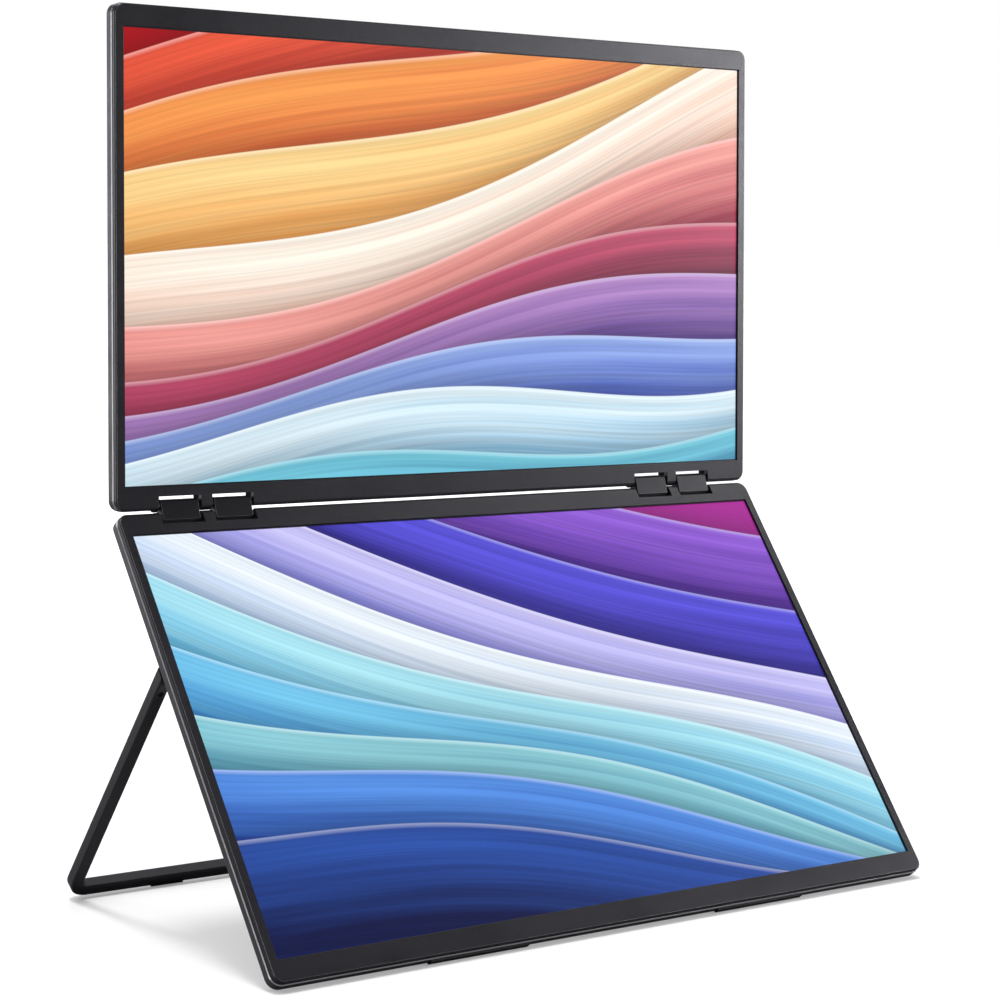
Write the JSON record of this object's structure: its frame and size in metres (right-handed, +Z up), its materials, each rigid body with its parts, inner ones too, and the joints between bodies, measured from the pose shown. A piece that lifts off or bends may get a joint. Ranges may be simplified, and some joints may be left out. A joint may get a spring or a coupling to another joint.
{
  "type": "dual portable monitor",
  "caption": "Stacked portable dual monitor: two flat screens joined along one edge by paired two-axis hinges, held up by a folding wire-frame kickstand.",
  "frame": {"origin": "on the table, under the middle of the outline", "axes": "+Z up, +X to the viewer's right, +Y away from the viewer"},
  "size_m": [0.3534, 0.1748, 0.3866],
  "materials": {
    "bezel_plastic": "fine-grained matt charcoal",
    "cover_metal": "fine-blasted, anodised dark grey",
    "stand_metal": "fine-blasted, anodised dark grey",
    "block_metal": "satin black",
    "hinge_steel": "ground steel",
    "dark_steel": "blackened steel",
    "screen_upper": "lit picture behind matt anti-glare glass",
    "screen_lower": "lit picture behind matt anti-glare glass",
    "light_guide": "white sheet and films",
    "circuit_board": "green solder mask",
    "chip_black": "moulded black",
    "switch_white": "moulded off-white",
    "socket_steel": "plated steel",
    "button_plastic": "matt charcoal",
    "foot_rubber": "matt black"
  },
  "bodies": {
    "lower_monitor": {"lower_bezel": "bezel_plastic", "lower_rear_cover": "cover_metal", "lower_screen": "screen_lower", "lower_backlight": "light_guide", "lower_light_pads": "chip_black", "lower_hinge_brackets": "dark_steel", "lower_hinge_shafts": "hinge_steel", "lower_hinge_screws": "dark_steel", "lower_cover_screws": "dark_steel", "main_board": "circuit_board", "board_chips": "chip_black", "board_screws": "hinge_steel", "usb_c_sockets": "socket_steel", "mini_hdmi_socket": "socket_steel", "button_board": "circuit_board", "button_switches": "switch_white", "stand_brackets": "cover_metal", "stand_pins": "hinge_steel", "front_feet": "foot_rubber"},
    "kickstand": {"stand_frame": "stand_metal", "stand_leaves": "hinge_steel", "stand_screws": "dark_steel", "stand_feet": "foot_rubber"},
    "hinge_links": {"hinge_block_1": "block_metal", "hinge_block_2": "block_metal", "hinge_block_3": "block_metal", "hinge_block_4": "block_metal", "friction_washers": "hinge_steel"},
    "upper_monitor": {"upper_bezel": "bezel_plastic", "upper_rear_cover": "cover_metal", "upper_screen": "screen_upper", "upper_backlight": "light_guide", "upper_light_pads": "chip_black", "upper_hinge_brackets": "dark_steel", "upper_hinge_shafts": "hinge_steel", "upper_hinge_screws": "dark_steel", "upper_cover_screws": "dark_steel", "driver_board": "circuit_board"},
    "power_button": {"power_button": "button_plastic"},
    "menu_button": {"menu_button": "button_plastic"}
  },
  "joints": [
    {"name": "kickstand_pivot", "type": "hinge", "parent": "lower_monitor", "child": "kickstand", "pos_m": [0, 0.00525, 0.10897], "axis": [1, 0, 0], "range_deg": [-74.5, 0]},
    {"name": "lower_pivot", "type": "hinge", "parent": "lower_monitor", "child": "hinge_links", "pos_m": [0, 0.04437, 0.16926], "axis": [1, 0, 0], "range_deg": [-72, 72.07]},
    {"name": "upper_pivot", "type": "hinge", "parent": "hinge_links", "child": "upper_monitor", "pos_m": [0, 0.04652, 0.17519], "axis": [1, 0, 0], "range_deg": [-72, 72.07]},
    {"name": "power_button_slide", "type": "slide", "parent": "lower_monitor", "child": "power_button", "axis": [1, 0, 0], "range_m": [0, 0.0005], "stiffness_N_per_m": 3000},
    {"name": "menu_button_slide", "type": "slide", "parent": "lower_monitor", "child": "menu_button", "axis": [1, 0, 0], "range_m": [0, 0.0005], "stiffness_N_per_m": 3000}
  ],
  "couplings": [
    {"joint": "upper_pivot", "follows": "lower_pivot", "ratio": 1}
  ]
}
